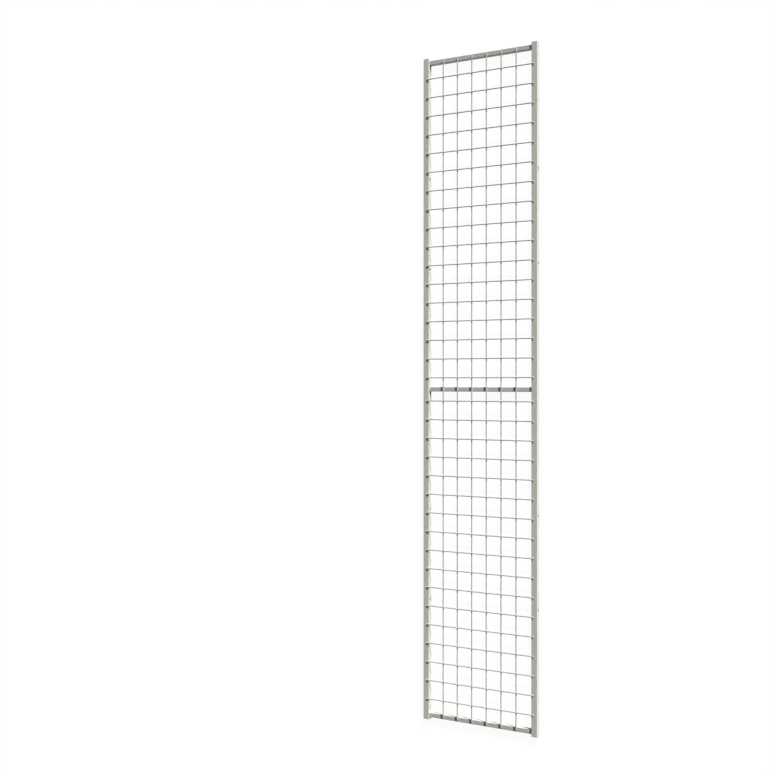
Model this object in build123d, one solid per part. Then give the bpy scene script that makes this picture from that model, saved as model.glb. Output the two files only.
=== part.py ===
from build123d import *
import math
import os

# Mesh fence panel, stored lying flat with its mesh side up. X is the panel's width, Y is its height
# when it stands, and Z is its thickness. The backs of the posts lie at Z = 0, and the origin is the
# middle of the panel. All sizes are in millimetres.

# Overall size, over the outsides of the posts
panel_height = 2200
panel_width = 400

# Posts: square tubes that run the full height, with open ends
post_side = 20
post_wall = 1.5
post_corner_radius = 1.5

# Rails: square tubes between the posts, one near each end and one in the middle
rail_side = 15
rail_wall = 1.5
rail_corner_radius = 1.5
rail_to_post_end = 7

# Fixing holes, drilled across each post through both of its side walls
hole_diameter = 9
inner_hole_from_middle = 400
outer_hole_from_middle = 700

# Mesh: cross wires in front of upright wires, welded where they meet
wire_diameter = 4
wire_sides = 8
weld_sink = 0.5
cross_wire_pitch = 62
upright_wire_pitch = 51.2
cross_wire_end_to_post_side = 12
upright_wire_end_to_rail_edge = 5.5

# Places across the width and along the height
post_centre_x = (panel_width - post_side) / 2
clear_half_width = panel_width / 2 - post_side
end_rail_outer_y = panel_height / 2 - rail_to_post_end
end_rail_centre_y = end_rail_outer_y - rail_side / 2
end_rail_inner_y = end_rail_outer_y - rail_side

# Heights above the floor: the cross wires lie on the fronts of the posts, the upright wires sit
# under them by a wire less the weld, and the fronts of the rails meet the upright wires
cross_wire_z = post_side + wire_diameter / 2
upright_wire_z = cross_wire_z - wire_diameter + weld_sink
rail_front_z = upright_wire_z - wire_diameter / 2
rail_centre_z = rail_front_z - rail_side / 2


def square_tube(side, wall, corner_radius, length):
    """A square tube along Z, centred on the origin, with open ends."""
    inner_side = side - 2 * wall
    # The bore's corners run a wall inside the outer ones, but never come out quite sharp
    inner_radius = max(corner_radius - wall, wall / 4)
    outline = RectangleRounded(side, side, corner_radius)
    bore = RectangleRounded(inner_side, inner_side, inner_radius)
    return extrude(outline - bore, amount=length / 2, both=True)


def post(centre_x):
    """One post along Y, with its four fixing holes along X."""
    tube = Rot(90, 0, 0) * square_tube(post_side, post_wall, post_corner_radius, panel_height)
    drill = Rot(0, 90, 0) * Cylinder(hole_diameter / 2, 2 * post_side)
    for hole_y in (inner_hole_from_middle, outer_hole_from_middle):
        for side in (-1, 1):
            tube -= Pos(0, side * hole_y, 0) * drill
    return Pos(centre_x, 0, post_side / 2) * tube


def rail(centre_y):
    """One rail along X, from the inner face of one post to the inner face of the other."""
    tube = square_tube(rail_side, rail_wall, rail_corner_radius, 2 * clear_half_width)
    return Pos(0, centre_y, rail_centre_z) * Rot(0, 90, 0) * tube


def wire(length):
    """A straight wire along Z with a flat-sided section, as wide over its flats as the wire."""
    section = RegularPolygon(wire_diameter / 2, wire_sides, major_radius=False, rotation=180 / wire_sides)
    return extrude(section, amount=length / 2, both=True)


def cross_wire_places():
    """Y of each cross wire: half a pitch clear of the middle rail, then a pitch apart each way."""
    first_y = (rail_side + cross_wire_pitch) / 2
    count = math.floor((end_rail_inner_y - first_y) / cross_wire_pitch) + 1
    upper_half = [first_y + i * cross_wire_pitch for i in range(count)]
    return [-y for y in reversed(upper_half)] + upper_half


def upright_wire_places():
    """X of each upright wire: a pitch apart, about the middle of the clear width."""
    count = round(2 * clear_half_width / upright_wire_pitch) - 1
    return [(i - (count - 1) / 2) * upright_wire_pitch for i in range(count)]


def mesh():
    """The welded mesh: every wire as one solid, fused where the wires cross."""
    cross_wire = Rot(0, 90, 0) * wire(panel_width - 2 * cross_wire_end_to_post_side)
    upright_wire = Rot(90, 0, 0) * wire(2 * (end_rail_outer_y - upright_wire_end_to_rail_edge))
    cross_wires = [Pos(0, y, cross_wire_z) * cross_wire for y in cross_wire_places()]
    upright_wires = [Pos(x, 0, upright_wire_z) * upright_wire for x in upright_wire_places()]
    return upright_wires[0].fuse(*upright_wires[1:], *cross_wires)


nodes = {
    "post_left": post(-post_centre_x),
    "post_right": post(post_centre_x),
    "rail_top": rail(end_rail_centre_y),
    "rail_middle": rail(0),
    "rail_bottom": rail(-end_rail_centre_y),
    "mesh": mesh(),
}

os.makedirs("parts", exist_ok=True)
for name, shape in nodes.items():
    export_step(shape, f"parts/{name}.step")
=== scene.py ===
import math
import random

import bmesh
import bpy
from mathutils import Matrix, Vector


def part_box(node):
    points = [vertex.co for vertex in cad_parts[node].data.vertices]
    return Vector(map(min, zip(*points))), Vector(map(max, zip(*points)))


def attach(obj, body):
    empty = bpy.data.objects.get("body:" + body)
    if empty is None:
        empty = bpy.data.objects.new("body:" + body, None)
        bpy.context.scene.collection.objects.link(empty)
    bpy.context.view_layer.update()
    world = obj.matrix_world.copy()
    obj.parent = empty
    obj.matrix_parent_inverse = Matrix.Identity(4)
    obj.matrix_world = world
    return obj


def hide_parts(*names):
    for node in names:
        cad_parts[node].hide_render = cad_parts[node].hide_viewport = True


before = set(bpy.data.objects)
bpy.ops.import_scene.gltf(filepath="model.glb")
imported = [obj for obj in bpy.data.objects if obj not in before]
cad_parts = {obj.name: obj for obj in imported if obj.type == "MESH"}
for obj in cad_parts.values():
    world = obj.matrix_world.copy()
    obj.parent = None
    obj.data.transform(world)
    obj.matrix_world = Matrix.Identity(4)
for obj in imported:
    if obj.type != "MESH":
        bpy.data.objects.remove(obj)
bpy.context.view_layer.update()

MM = 0.001

# The fence panel lies on its posts' backs with the mesh side up: X is its width, Y its height when it
# stands, Z its thickness. The tubes come from the frame. The mesh sheet is made again here from round
# wire, and the welds are added: at the mesh's crossings, where its wires sit on the tubes, and where the
# rails meet the posts.

# Wire and mesh
wire_radius = 2 * MM
cross_wire_pitch = 62 * MM
upright_wire_pitch = 51.2 * MM
wire_sides = 24
wire_end_rounding = 0.4 * MM
end_rounding_steps = 3
straight_from_end = 2 * MM

# Powder coat, the same on tubes and wires. Its orange peel is drawn about three times as deep as it is,
# so that it shows.
coat_where_thin = "#C9CDC4"
coat_where_thick = "#C5C9C0"
coat_drift_mm = 70
coat_roughness_least = 0.34
coat_roughness_most = 0.48
coat_ior = 1.5
peel_mm = 2.4
peel_height = 0.10 * MM
grain_mm = 0.4
grain_height = 0.01 * MM
grain_lowest = 0.3
grain_highest = 0.7

# Tubes, as the frame has them
tube_corner_radius = 1.5 * MM
tube_wall = 1.5 * MM

# Fillets of the resistance welds, which differ a little from weld to weld
smallest_fillet = 0.42 * MM
largest_fillet = 0.70 * MM
fillet_rows = 4
crossing_sides = 24
seat_end_steps = 6
seat_side_steps = 5
seat_end_reach = 0.6
fillet_overlap = 0.03 * MM
widest_seat = 2 * math.sqrt(wire_radius * largest_fillet)
weld_seed = 41

# Beads of the arc welds between the rails and the posts
bead_leg_on_rail = 2.5 * MM
bead_leg_on_post = 2.2 * MM
bead_leg_at_back = 1.15 * MM
bead_start_below_front = 2.6 * MM
bead_step = 0.25 * MM
bead_root = 0.7 * MM
bead_round_start = 2.2 * MM
bead_blunt_start = 0.1 * MM
# Points over a bead's face, from the rail to the post, as shares of its two legs
bead_crown = ((1.0, 0.0), (0.80, 0.34), (0.50, 0.62), (0.24, 0.84), (0.0, 1.0))
ripple_pitch = 1.3 * MM
ripple_depth = 0.12
ripple_bow = 0.35

# Seam of the welded tube, a low ridge along the inside of each post that wanders a little
seam_half_width = 0.9 * MM
seam_height = 0.45 * MM
seam_end_inset = 0.3 * MM
seam_wander = 0.15 * MM
seam_wander_turn = 1.7
seam_sides = 6
seam_step = 20 * MM

# Places read from the frame
mesh_lowest, mesh_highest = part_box("mesh")
post_lowest, post_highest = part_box("post_right")
top_rail_lowest, top_rail_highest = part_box("rail_top")
cross_wire_z = mesh_highest.z - wire_radius
upright_wire_z = mesh_lowest.z + wire_radius
post_front_z = post_highest.z
rail_front_z = top_rail_highest.z
rail_side = top_rail_highest.y - top_rail_lowest.y
clear_half_width = post_lowest.x
rails = ("rail_top", "rail_middle", "rail_bottom")
posts = ("post_left", "post_right")


def cross_wire_places():
    """Y of each cross wire: half a pitch clear of the middle rail, then a pitch apart each way."""
    first_y = (rail_side + cross_wire_pitch) / 2
    count = math.floor((top_rail_lowest.y - first_y) / cross_wire_pitch) + 1
    upper_half = [first_y + i * cross_wire_pitch for i in range(count)]
    return [-y for y in reversed(upper_half)] + upper_half


def upright_wire_places():
    """X of each upright wire: a pitch apart, about the middle of the clear width."""
    count = round(2 * clear_half_width / upright_wire_pitch) - 1
    return [(i - (count - 1) / 2) * upright_wire_pitch for i in range(count)]


def linear_colour(hex_colour):
    """Turns an sRGB hex colour into the linear colour that a shader takes."""
    channels = [int(hex_colour[i:i + 2], 16) / 255 for i in (1, 3, 5)]
    linear = [c / 12.92 if c <= 0.04045 else ((c + 0.055) / 1.055) ** 2.4 for c in channels]
    return (*linear, 1.0)


def add_node(tree, kind, inputs=None, **settings):
    """Adds a node to a tree, with its settings, and its inputs set to values or linked to sockets."""
    node = tree.nodes.new(kind)
    for name, value in settings.items():
        setattr(node, name, value)
    for socket, value in (inputs or {}).items():
        if isinstance(value, bpy.types.NodeSocket):
            tree.links.new(value, node.inputs[socket])
        else:
            node.inputs[socket].default_value = value
    return node


def new_material(name):
    """An empty node material, and its tree."""
    material = bpy.data.materials.new(name)
    material.use_nodes = True
    material.node_tree.nodes.clear()
    return material, material.node_tree


def noise(tree, place, feature_mm, detail=1.0):
    """A noise pattern whose features are about this many millimetres across."""
    return add_node(tree, "ShaderNodeTexNoise", {
        "Vector": place, "Scale": 1 / (feature_mm * MM), "Detail": detail,
    }).outputs["Fac"]


def mixed_colour(tree, share, first, second):
    """The first colour where the share is 0, the second where it is 1, and blends of them between."""
    return add_node(tree, "ShaderNodeMix", {
        "Factor": share, "A": first, "B": second,
    }, data_type="RGBA").outputs["Result"]


def satin_powder_coat(name):
    """Light grey powder coat on steel, sprayed and baked. It gives the eye an even satin skin with a faint
    orange peel, whose shade and gloss drift a little where the powder lay thicker."""
    material, tree = new_material(name)
    place = add_node(tree, "ShaderNodeTexCoord").outputs["Object"]
    drift = noise(tree, place, coat_drift_mm, detail=2.0)
    colour = mixed_colour(tree, drift, linear_colour(coat_where_thick), linear_colour(coat_where_thin))
    peel = noise(tree, place, peel_mm)
    grain = noise(tree, place, grain_mm)
    roughness = add_node(tree, "ShaderNodeMapRange", {
        "Value": grain, "From Min": grain_lowest, "From Max": grain_highest,
        "To Min": coat_roughness_least, "To Max": coat_roughness_most,
    }).outputs["Result"]
    peel_bump = add_node(tree, "ShaderNodeBump", {"Height": peel, "Strength": 1.0, "Distance": peel_height})
    grain_bump = add_node(tree, "ShaderNodeBump", {
        "Height": grain, "Strength": 1.0, "Distance": grain_height, "Normal": peel_bump.outputs["Normal"],
    })
    coat = add_node(tree, "ShaderNodeBsdfPrincipled", {
        "Base Color": colour,
        "Roughness": roughness,
        "IOR": coat_ior,
        "Normal": grain_bump.outputs["Normal"],
    })
    add_node(tree, "ShaderNodeOutputMaterial", {"Surface": coat.outputs["BSDF"]})
    return material


def add_rings(mesh, rings):
    """Joins rings of points, each with the next, and gives back the first and the last of them."""
    drawn = [[mesh.verts.new(point) for point in ring] for ring in rings]
    for lower, upper in zip(drawn, drawn[1:]):
        for i in range(len(lower)):
            j = (i + 1) % len(lower)
            mesh.faces.new((lower[i], lower[j], upper[j], upper[i]))
    return drawn[0], drawn[-1]


def close_ring(mesh, ring, centre):
    """Closes a ring with a fan, which lies inside another piece, and keeps it out of the smooth shading."""
    middle = mesh.verts.new(centre)
    for i in range(len(ring)):
        j = (i + 1) % len(ring)
        mesh.faces.new((ring[i], ring[j], middle))
        mesh.edges.get((ring[i], ring[j])).smooth = False


def finish_piece(mesh, name, material):
    """Turns the drawn mesh into a smooth piece of the panel."""
    bmesh.ops.recalc_face_normals(mesh, faces=mesh.faces)
    data = bpy.data.meshes.new(name)
    mesh.to_mesh(data)
    mesh.free()
    for face in data.polygons:
        face.use_smooth = True
    data.materials.append(material)
    piece = bpy.data.objects.new(name, data)
    bpy.context.scene.collection.objects.link(piece)
    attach(piece, "root")
    return piece


def add_wire(mesh, start, end):
    """A round wire from start to end, with its cut ends just rounded over by the coat."""
    along = (end - start).normalized()
    side = along.orthogonal().normalized()
    other = along.cross(side)
    turns = [math.tau * i / wire_sides for i in range(wire_sides)]
    profile = []
    for step in range(end_rounding_steps + 1):
        angle = math.pi / 2 * step / end_rounding_steps
        back = wire_end_rounding * (1 - math.cos(angle))
        radius = wire_radius - wire_end_rounding * (1 - math.sin(angle))
        profile.append((back, radius))
    profile.append((straight_from_end, wire_radius))
    stations = [(start + along * back, radius) for back, radius in profile]
    stations += [(end - along * back, radius) for back, radius in reversed(profile)]
    rings = []
    for centre, radius in stations:
        rings.append([centre + (side * math.cos(t) + other * math.sin(t)) * radius for t in turns])
    first, last = add_rings(mesh, rings)
    mesh.faces.new(reversed(first))
    mesh.faces.new(last)


def make_wires(material):
    """The mesh sheet's wires: the cross wires in front, the upright wires behind them."""
    left, right = mesh_lowest.x, mesh_highest.x
    bottom, top = mesh_lowest.y, mesh_highest.y
    drawn = bmesh.new()
    for y in cross_wire_places():
        add_wire(drawn, Vector((left, y, cross_wire_z)), Vector((right, y, cross_wire_z)))
    cross = finish_piece(drawn, "mesh_cross_wires", material)
    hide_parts("mesh")
    drawn = bmesh.new()
    for x in upright_wire_places():
        add_wire(drawn, Vector((x, bottom, upright_wire_z)), Vector((x, top, upright_wire_z)))
    upright = finish_piece(drawn, "mesh_upright_wires", material)
    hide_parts("mesh")
    return [cross, upright]


def add_fillet(mesh, lower, crevice, upper, centre_below, centre_above):
    """A hollow fillet between two rings of points, bent towards the crevice between them."""
    rings = []
    for row in range(fillet_rows + 1):
        t = row / fillet_rows
        rings.append([a * (1 - t) ** 2 + b * 2 * t * (1 - t) + c * t ** 2
                      for a, b, c in zip(lower, crevice, upper)])
    first, last = add_rings(mesh, rings)
    close_ring(mesh, first, centre_below)
    close_ring(mesh, last, centre_above)


def add_crossing_weld(mesh, x, y, fillet):
    """The fillet around the place where a cross wire is pressed and welded into an upright wire. A ball
    of the fillet's radius would touch one wire at its reach and the other on its flank."""
    step_up = cross_wire_z - upright_wire_z - wire_radius
    reach = math.sqrt((wire_radius + fillet) ** 2 - (step_up - fillet) ** 2)
    flank = reach * wire_radius / (wire_radius + fillet)
    flank_height = (step_up - fillet) * wire_radius / (wire_radius + fillet)
    corner = flank - flank_height * (step_up - flank_height) / flank
    middle_z = (cross_wire_z + upright_wire_z) / 2
    half_sink = wire_radius - (cross_wire_z - upright_wire_z) / 2
    lower, crevice, upper = [], [], []
    for i in range(crossing_sides):
        turn = math.tau * i / crossing_sides
        c, s = math.cos(turn), math.sin(turn)
        low_z = upright_wire_z + math.sqrt(wire_radius ** 2 - (flank * c) ** 2) - fillet_overlap
        high_z = cross_wire_z - math.sqrt(wire_radius ** 2 - (flank * s) ** 2) + fillet_overlap
        lower.append(Vector((x + flank * c, y + reach * s, low_z)))
        crevice.append(Vector((x + corner * c, y + corner * s, middle_z - half_sink * math.cos(2 * turn))))
        upper.append(Vector((x + reach * c, y + flank * s, high_z)))
    inside = wire_radius / 3
    add_fillet(mesh, lower, crevice, upper,
               Vector((x, y, upright_wire_z + inside)), Vector((x, y, cross_wire_z - inside)))


def seat_outline():
    """The way round a seat: for each point, where it lies along the seat, from -1 to 1, and how far out
    from there it goes along and across the wire, as shares."""
    points = []
    for end in (1, -1):
        for i in range(1, seat_side_steps):
            points.append((end * (2 * i / seat_side_steps - 1), 0.0, end))
        for i in range(seat_end_steps + 1):
            turn = math.pi * i / seat_end_steps
            points.append((end, end * math.sin(turn), end * math.cos(turn)))
    return points


def add_seat_weld(mesh, middle, along, half_length, fillet, to_cut_end):
    """The fillet around a wire's seat on a flat tube face, from the seat's middle half a length each way.
    It goes round the wire's cut end, if the seat has one, and fades out under the wire where that goes on."""
    across = Vector((0, 0, 1)).cross(along)
    width = 2 * math.sqrt(wire_radius * fillet)
    touch = width * wire_radius / (wire_radius + fillet)
    touch_height = 2 * wire_radius * fillet / (wire_radius + fillet)
    corner = touch - touch_height * (wire_radius - touch_height) / touch
    lower, crevice, upper = [], [], []
    for end, out_along, out_across in seat_outline():
        foot = middle + along * (end * half_length)
        cut = to_cut_end and end == 1
        reach = width * (seat_end_reach if cut else 1.0)
        lower.append(foot + along * (reach * out_along) + across * (width * out_across))
        lower[-1].z -= fillet_overlap
        if cut:
            crevice.append(foot + across * (corner * out_across))
            inset = wire_end_rounding * abs(out_along)
            upper.append(foot - along * inset + across * (touch * out_across))
            upper[-1].z += touch_height
        else:
            crevice.append(foot + along * (corner * out_along) + across * (corner * out_across))
            side = touch * out_across
            upper.append(foot + along * (touch * out_along) + across * side)
            upper[-1].z += wire_radius - math.sqrt(wire_radius ** 2 - side ** 2) + fillet_overlap
    add_fillet(mesh, lower, crevice, upper,
               middle - Vector((0, 0, tube_wall / 3)), middle + Vector((0, 0, wire_radius / 3)))


def random_fillet(chance):
    """The radius of one resistance weld's fillet."""
    return chance.uniform(smallest_fillet, largest_fillet)


def make_crossing_welds(chance, material):
    """The welds where the wires of the mesh cross."""
    drawn = bmesh.new()
    for y in cross_wire_places():
        for x in upright_wire_places():
            add_crossing_weld(drawn, x, y, random_fillet(chance))
    welds = finish_piece(drawn, "mesh_crossing_welds", material)
    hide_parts("mesh")
    return welds


def make_post_welds(chance, material):
    """The welds of the cross wires to the fronts of the posts, out to the wires' cut ends."""
    flat_starts = clear_half_width + tube_corner_radius + widest_seat
    half_length = (mesh_highest.x - flat_starts) / 2
    drawn = bmesh.new()
    for y in cross_wire_places():
        for side in (-1, 1):
            seat = Vector((side * (flat_starts + half_length), y, post_front_z))
            add_seat_weld(drawn, seat, Vector((side, 0, 0)), half_length, random_fillet(chance), True)
    return finish_piece(drawn, "welds_of_mesh_to_posts", material)


def make_rail_welds(chance, material):
    """The welds of the upright wires to the fronts of the rails, on the end rails out to the cut ends."""
    half_flat = rail_side / 2 - tube_corner_radius - widest_seat
    drawn = bmesh.new()
    for rail in rails:
        lowest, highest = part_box(rail)
        rail_y = (lowest.y + highest.y) / 2
        at_end = rail != "rail_middle"
        along = -1 if rail_y < 0 and at_end else 1
        outer = mesh_highest.y - abs(rail_y) if at_end else half_flat
        half_length = (outer + half_flat) / 2
        for x in upright_wire_places():
            seat = Vector((x, rail_y + along * (outer - half_length), rail_front_z))
            add_seat_weld(drawn, seat, Vector((0, along, 0)), half_length, random_fillet(chance), at_end)
    return finish_piece(drawn, "welds_of_mesh_to_rails", material)


def bead_path():
    """The way of a rail's bead round the rail's section, from low on one side, over the back, to the other
    side: for each step, the distance gone, the place on the section and the way out of it."""
    flat = rail_side / 2 - tube_corner_radius
    start = rail_side / 2 - bead_start_below_front
    side_run = start + flat
    corner_run = tube_corner_radius * math.pi / 2
    length = 2 * side_run + 2 * corner_run + 2 * flat
    steps = round(length / bead_step)
    path = []
    for i in range(steps + 1):
        gone = length * i / steps
        mirrored = gone > length / 2
        s = length - gone if mirrored else gone
        if s < side_run:
            place, turn = Vector((0, rail_side / 2, start - s)), 0.0
        elif s < side_run + corner_run:
            turn = (s - side_run) / tube_corner_radius
            round_corner = Vector((0, math.cos(turn), -math.sin(turn))) * tube_corner_radius
            place = Vector((0, flat, -flat)) + round_corner
        else:
            place, turn = Vector((0, flat - (s - side_run - corner_run), -rail_side / 2)), math.pi / 2
        out = Vector((0, math.cos(turn), -math.sin(turn)))
        if mirrored:
            place.y, out.y = -place.y, -out.y
        path.append((gone, length - gone, place, out))
    return path


def add_bead(mesh, rail_y, rail_z, side):
    """One rippled bead in the corner between a rail's end and a post, on the rail's sides and back. It
    starts and ends round, and its root lies hidden in the two tubes' walls."""
    corner = Vector((side * clear_half_width, rail_y, rail_z))
    inwards = Vector((-side, 0, 0))
    rings = []
    for gone, left, place, out in bead_path():
        backwards = max(0.0, -out.z)
        leg_out = bead_leg_on_post + (bead_leg_at_back - bead_leg_on_post) * backwards
        from_end = min(1.0, (bead_blunt_start + min(gone, left)) / bead_round_start)
        fade = math.sqrt(from_end * (2 - from_end))
        ring = []
        for i, (on_rail, on_post) in enumerate(bead_crown):
            bow = 1 - (2 * i / (len(bead_crown) - 1) - 1) ** 2
            phase = (gone / ripple_pitch + ripple_bow * bow) % 1.0
            swell = fade * (1 + ripple_depth * (0.5 - phase) * 2 * bow)
            ring.append(corner + place + inwards * (bead_leg_on_rail * on_rail * swell)
                        + out * (leg_out * on_post * swell))
        ring.append(corner + place - inwards * bead_root + out * (leg_out / 2 * fade))
        ring.append(corner + place - inwards * bead_root - out * bead_root)
        ring.append(corner + place + inwards * (bead_leg_on_rail / 2 * fade) - out * bead_root)
        rings.append(ring)
    first, last = add_rings(mesh, rings)
    for ring in (first, last):
        centre = sum((vertex.co for vertex in ring), Vector()) / len(ring)
        close_ring(mesh, ring, centre)


def make_beads(material):
    """The beads of all three rails, both ends of a rail in one piece."""
    pieces = []
    for rail in rails:
        lowest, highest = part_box(rail)
        drawn = bmesh.new()
        for side in (-1, 1):
            add_bead(drawn, (lowest.y + highest.y) / 2, (lowest.z + highest.z) / 2, side)
        pieces.append(finish_piece(drawn, rail + "_weld_beads", material))
    return pieces


def make_tube_seam(post, material):
    """The low ridge that the mill's seam weld leaves along the inside of a post, on its back wall."""
    lowest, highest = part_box(post)
    x = (lowest.x + highest.x) / 2
    floor_z = lowest.z + tube_wall
    length = highest.y - lowest.y - 2 * seam_end_inset
    steps = round(length / seam_step)
    rings = []
    for i in range(steps + 1):
        y = lowest.y + seam_end_inset + length * i / steps
        wander = seam_wander * math.sin(seam_wander_turn * i)
        ring = []
        for k in range(seam_sides + 1):
            turn = math.pi * k / seam_sides
            ring.append(Vector((x + wander + seam_half_width * math.cos(turn), y,
                                floor_z + seam_height * math.sin(turn))))
        ring.append(Vector((x + wander, y, floor_z - seam_height)))
        rings.append(ring)
    drawn = bmesh.new()
    first, last = add_rings(drawn, rings)
    drawn.faces.new(reversed(first))
    drawn.faces.new(last)
    return finish_piece(drawn, post + "_inner_seam", material)


# Floor: pale to the panel above it and nearly white to the eye, with the panel's shadow kept
floor_size = 40.0
floor_hex = "#D0D0CE"
floor_shade_hex = "#565655"
floor_glow = 0.955


def seen_directly(tree):
    """1 where the camera sees a surface itself, by reflection or through glass, otherwise 0."""
    path = add_node(tree, "ShaderNodeLightPath")
    seen = path.outputs["Is Camera Ray"]
    for ray in ("Is Glossy Ray", "Is Transmission Ray"):
        either = add_node(tree, "ShaderNodeMath", {0: seen, 1: path.outputs[ray]}, operation="MAXIMUM")
        seen = either.outputs[0]
    return seen


def make_floor():
    """The floor the panel lies on. Its light on the panel is that of a pale card. The eye sees a dark card
    with a glow of its own, so that the floor is nearly white and the shadow on it faint."""
    material, tree = new_material("pale studio floor")
    seen = seen_directly(tree)
    colour = mixed_colour(tree, seen, linear_colour(floor_hex), linear_colour(floor_shade_hex))
    glow = add_node(tree, "ShaderNodeMath", {0: seen, 1: floor_glow}, operation="MULTIPLY")
    card = add_node(tree, "ShaderNodeBsdfDiffuse", {"Color": colour})
    shine = add_node(tree, "ShaderNodeEmission", {"Strength": glow.outputs[0]})
    both = add_node(tree, "ShaderNodeAddShader", {0: card.outputs[0], 1: shine.outputs[0]})
    add_node(tree, "ShaderNodeOutputMaterial", {"Surface": both.outputs[0]})
    half = floor_size / 2
    corners = [(-half, -half, 0), (half, -half, 0), (half, half, 0), (-half, half, 0)]
    data = bpy.data.meshes.new("studio_floor")
    data.from_pydata(corners, [], [(0, 1, 2, 3)])
    data.materials.append(material)
    floor = bpy.data.objects.new("studio_floor", data)
    bpy.context.scene.collection.objects.link(floor)
    return floor


# Light: the photo's light falls on the posts and the mesh more from the front than on the rails. It
# brightens the posts' sides without brightening the wires, and leaves the rails' top sides without the
# cross wires' shadows. So there are four lamps, each for its own pieces, all from the right, the top and
# the front of the panel, in a dim white room. The post lamp is a second main lamp: a piece has to be in one
# group of lit pieces only, or else its light isn't the same in every run.
main_lamp_direction = Vector((1.0, 1.97, 0.92))
main_lamp_strength = 4.16
rail_lamp_direction = Vector((2.15, 2.8, 0.88))
rail_lamp_strength = 6.32
side_lamp_direction = Vector((1.0, 0.18, 0.08))
side_lamp_strength = 1.77
lamp_width_degrees = 5
room_light = 0.05


def group_of(name, pieces):
    """A group that holds some pieces."""
    group = bpy.data.collections.new(name)
    for piece in pieces:
        group.objects.link(piece)
    return group


def make_lamp(name, direction, strength, lit, shading=None):
    """A far lamp that shines from a direction on a group of pieces. Where a shading group is given, only
    its pieces cast the lamp's shadows, and otherwise all pieces do."""
    data = bpy.data.lights.new(name, "SUN")
    data.energy = strength
    data.angle = math.radians(lamp_width_degrees)
    lamp = bpy.data.objects.new(name, data)
    lamp.rotation_mode = "QUATERNION"
    lamp.rotation_quaternion = direction.to_track_quat("Z", "Y")
    bpy.context.scene.collection.objects.link(lamp)
    lamp.light_linking.receiver_collection = lit
    if shading:
        lamp.light_linking.blocker_collection = shading


def make_room():
    """The room around the panel: white to the eye, and a dim light from all sides to the panel."""
    world = bpy.data.worlds.new("white_room")
    world.use_nodes = True
    tree = world.node_tree
    tree.nodes.clear()
    strength = add_node(tree, "ShaderNodeMapRange", {
        "Value": seen_directly(tree), "To Min": room_light, "To Max": 1.0,
    })
    room = add_node(tree, "ShaderNodeBackground", {
        "Color": (1.0, 1.0, 1.0, 1.0), "Strength": strength.outputs["Result"],
    })
    add_node(tree, "ShaderNodeOutputWorld", {"Surface": room.outputs[0]})
    bpy.context.scene.world = world


# Camera: it looks down on the lying panel as the photo looks at the standing one, from its right
camera_place = Vector((1.3267, 0.0222, 3.1322))
camera_turn_degrees = 28.252
camera_tilt_degrees = -0.133
camera_lens = 48.52
camera_sensor = 36.0
camera_clip_start = 0.05
camera_clip_end = 100.0


def make_camera():
    """The camera that the photo was taken with, as worked out from the panel's perspective."""
    data = bpy.data.cameras.new("camera")
    data.lens = camera_lens
    data.sensor_width = camera_sensor
    data.sensor_fit = "HORIZONTAL"
    data.clip_start = camera_clip_start
    data.clip_end = camera_clip_end
    camera = bpy.data.objects.new("camera", data)
    camera.location = camera_place
    camera.rotation_euler = (math.radians(camera_tilt_degrees), math.radians(camera_turn_degrees), 0)
    bpy.context.scene.collection.objects.link(camera)
    bpy.context.scene.camera = camera


# The panel
tube_coat = satin_powder_coat("satin powder coat on steel tube")
wire_coat = satin_powder_coat("satin powder coat on steel wire")
for node in posts + rails:
    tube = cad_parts[node]
    tube.data.materials.clear()
    tube.data.materials.append(tube_coat)
cross_wires, upright_wires = make_wires(wire_coat)
chance = random.Random(weld_seed)
mesh_pieces = [cross_wires, upright_wires, make_crossing_welds(chance, wire_coat)]
mesh_pieces += [make_post_welds(chance, wire_coat), make_rail_welds(chance, wire_coat)]
rail_pieces = [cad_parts[rail] for rail in rails] + make_beads(tube_coat)
post_pieces = [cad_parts[post] for post in posts]
post_pieces += [make_tube_seam(post, tube_coat) for post in posts]

# The studio
mesh_and_floor = group_of("mesh_and_floor", mesh_pieces + [make_floor()])
post_group = group_of("posts_and_seams", post_pieces)
rail_group = group_of("rails_and_beads", rail_pieces)
rail_shading = group_of("shading_of_rails", rail_pieces + post_pieces + [upright_wires])
make_lamp("main_lamp", main_lamp_direction, main_lamp_strength, mesh_and_floor)
make_lamp("post_lamp", main_lamp_direction, main_lamp_strength, post_group)
make_lamp("side_lamp", side_lamp_direction, side_lamp_strength, post_group, rail_group)
make_lamp("rail_lamp", rail_lamp_direction, rail_lamp_strength, rail_group, rail_shading)
make_room()
make_camera()
bpy.context.scene.view_settings.view_transform = "Standard"
